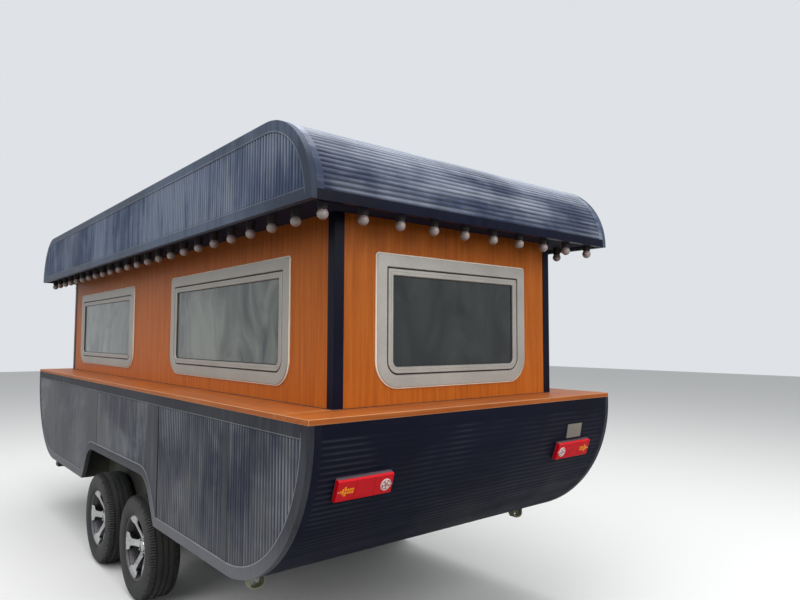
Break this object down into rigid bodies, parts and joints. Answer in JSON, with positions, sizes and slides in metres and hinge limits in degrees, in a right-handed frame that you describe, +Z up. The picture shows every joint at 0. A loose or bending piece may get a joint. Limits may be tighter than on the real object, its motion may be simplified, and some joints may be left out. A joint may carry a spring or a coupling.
{
  "type": "food trailer",
  "caption": "Tandem-axle food trailer with a ribbed upswept hull, all-round counter, glazed inset cabin, deep ribbed roof, drawbar jack and ball coupler.",
  "frame": {"origin": "on the ground under the middle of the trailer's whole length, drawbar included", "axes": "+X forward to the coupler, +Y to the left side, +Z up"},
  "size_m": [6.35, 2.12, 2.61],
  "materials": {
    "navy_sheet": "satin",
    "navy_trim": "satin",
    "wood_panel": "satin",
    "wood_board": "satin",
    "dark_lining": "matt",
    "window_alloy": "satin",
    "tinted_glass": "polished",
    "galvanised": "matt",
    "black_steel": "satin",
    "handle_steel": "satin",
    "socket_black": "matt",
    "bulb_glass": "frosted",
    "lamp_red": "polished",
    "lamp_body": "satin",
    "plate_white": "satin",
    "tyre": "matt",
    "polished_alloy": "polished"
  },
  "bodies": {
    "trailer": {"axle_front": "galvanised", "axle_rear": "galvanised", "bulb_sockets": "socket_black", "bulbs": "bulb_glass", "ceiling": "dark_lining", "chassis_rails": "galvanised", "corner_posts": "navy_trim", "counter_front": "wood_board", "counter_left": "wood_board", "counter_rear": "wood_board", "counter_right": "wood_board", "coupler": "black_steel", "cross_members": "galvanised", "door_well": "dark_lining", "drawbar_members": "galvanised", "drawbar_plates": "galvanised", "floor": "dark_lining", "hull_end_front": "navy_sheet", "hull_end_rear": "navy_sheet", "hull_side_left": "navy_trim", "hull_side_right": "navy_trim", "hull_skin_left": "navy_sheet", "hull_skin_right": "navy_sheet", "jack": "galvanised", "lamp_housings": "lamp_body", "lamp_lenses": "lamp_red", "number_plate": "plate_white", "roof_shell": "navy_sheet", "roof_side_left": "navy_trim", "roof_side_right": "navy_trim", "roof_skins": "navy_sheet", "springs": "black_steel", "steadies": "galvanised", "wall_front": "wood_panel", "wall_left": "wood_panel", "wall_rear": "wood_panel", "wall_right": "wood_panel", "wheel_wells": "dark_lining", "window_frames": "window_alloy"},
    "wheel_rear_left": {"tyre_rear_left": "tyre", "rim_rear_left": "polished_alloy"},
    "wheel_rear_right": {"tyre_rear_right": "tyre", "rim_rear_right": "polished_alloy"},
    "wheel_front_left": {"tyre_front_left": "tyre", "rim_front_left": "polished_alloy"},
    "wheel_front_right": {"tyre_front_right": "tyre", "rim_front_right": "polished_alloy"},
    "window_left_rear": {"sash_left_rear": "window_alloy", "glass_left_rear": "tinted_glass"},
    "window_left_front": {"sash_left_front": "window_alloy", "glass_left_front": "tinted_glass"},
    "window_rear": {"sash_rear": "window_alloy", "glass_rear": "tinted_glass"},
    "window_right_rear": {"sash_right_rear": "window_alloy", "glass_right_rear": "tinted_glass"},
    "door": {"door_leaf": "wood_panel", "door_glass": "tinted_glass", "door_handle": "handle_steel"}
  },
  "joints": [
    {"name": "wheel_rear_left_spin", "type": "hinge", "parent": "trailer", "child": "wheel_rear_left", "pos_m": [-1.125, 0.9625, 0.32], "axis": [0, 1, 0], "continuous": true},
    {"name": "wheel_rear_right_spin", "type": "hinge", "parent": "trailer", "child": "wheel_rear_right", "pos_m": [-1.125, -0.9625, 0.32], "axis": [0, 1, 0], "continuous": true},
    {"name": "wheel_front_left_spin", "type": "hinge", "parent": "trailer", "child": "wheel_front_left", "pos_m": [-0.275, 0.9625, 0.32], "axis": [0, 1, 0], "continuous": true},
    {"name": "wheel_front_right_spin", "type": "hinge", "parent": "trailer", "child": "wheel_front_right", "pos_m": [-0.275, -0.9625, 0.32], "axis": [0, 1, 0], "continuous": true},
    {"name": "window_left_rear_hinge", "type": "hinge", "parent": "trailer", "child": "window_left_rear", "pos_m": [-1.74, 0.783, 1.9745], "axis": [1, 0, 0], "range_deg": [0, 70]},
    {"name": "window_left_front_hinge", "type": "hinge", "parent": "trailer", "child": "window_left_front", "pos_m": [0.707, 0.783, 1.9745], "axis": [1, 0, 0], "range_deg": [0, 70]},
    {"name": "window_rear_hinge", "type": "hinge", "parent": "trailer", "child": "window_rear", "pos_m": [-2.948, 0, 1.9745], "axis": [0, 1, 0], "range_deg": [0, 70]},
    {"name": "window_right_rear_hinge", "type": "hinge", "parent": "trailer", "child": "window_right_rear", "pos_m": [-1.74, -0.783, 1.9745], "axis": [-1, 0, 0], "range_deg": [0, 70]},
    {"name": "door_hinge", "type": "hinge", "parent": "trailer", "child": "door", "pos_m": [1.187, -0.77, 1.3], "axis": [0, 0, 1], "range_deg": [0, 90]}
  ]
}
